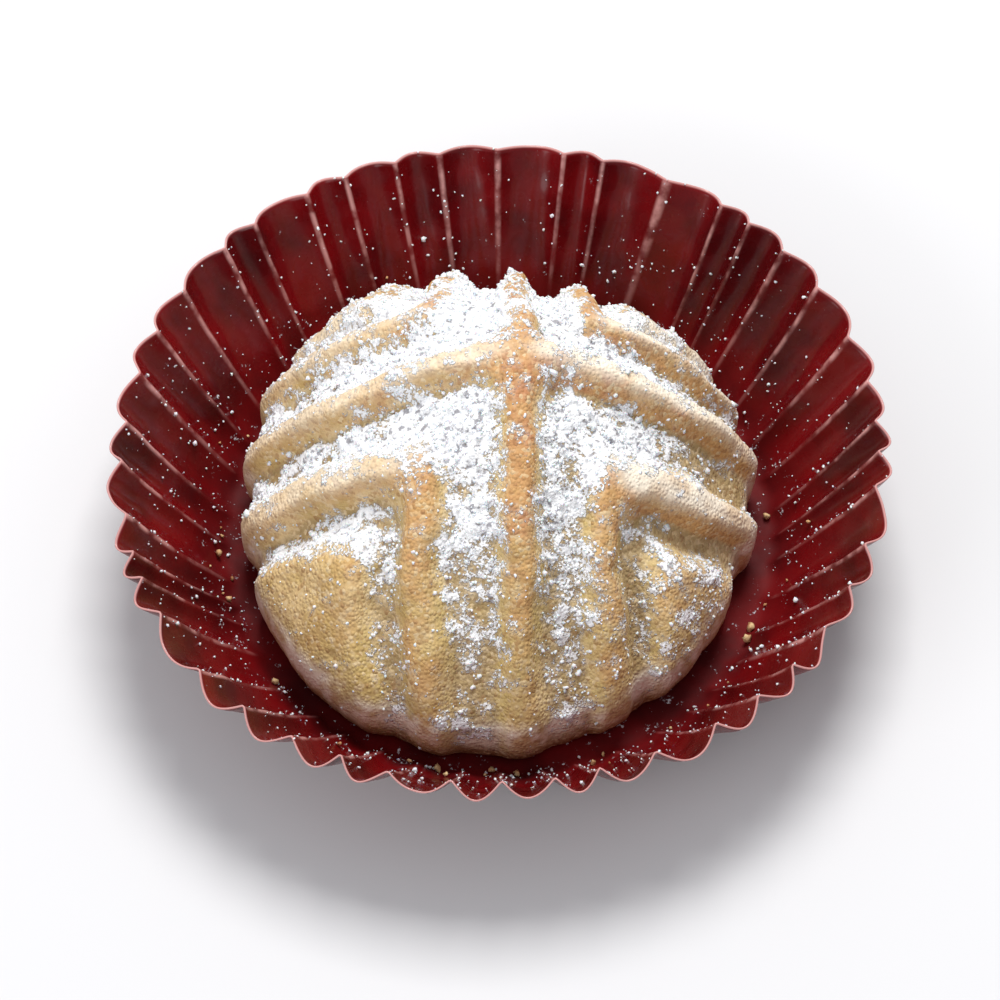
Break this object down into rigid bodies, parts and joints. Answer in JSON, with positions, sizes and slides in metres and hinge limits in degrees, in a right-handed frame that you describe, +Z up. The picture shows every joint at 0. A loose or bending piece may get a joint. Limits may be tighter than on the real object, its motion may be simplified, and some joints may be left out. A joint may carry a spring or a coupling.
{
  "type": "maamoul cookie",
  "caption": "Domed semolina cookie with a moulded cross and a chevron in each quarter, dusted with powdered sugar, standing in a fluted dark red paper cup.",
  "frame": {"origin": "the middle of the paper cup's underside, where it stands", "axes": "+Z up through the cookie's top; -Y is the side seen in the main view; the spokes of the moulded cross run along X and Y, and one of them points to -Y"},
  "size_m": [0.0658, 0.0664, 0.0251],
  "materials": {
    "dough": "matte",
    "glazed_paper": "satin"
  },
  "bodies": {
    "root": {"cookie": "dough", "paper_case": "glazed_paper"}
  },
  "joints": []
}
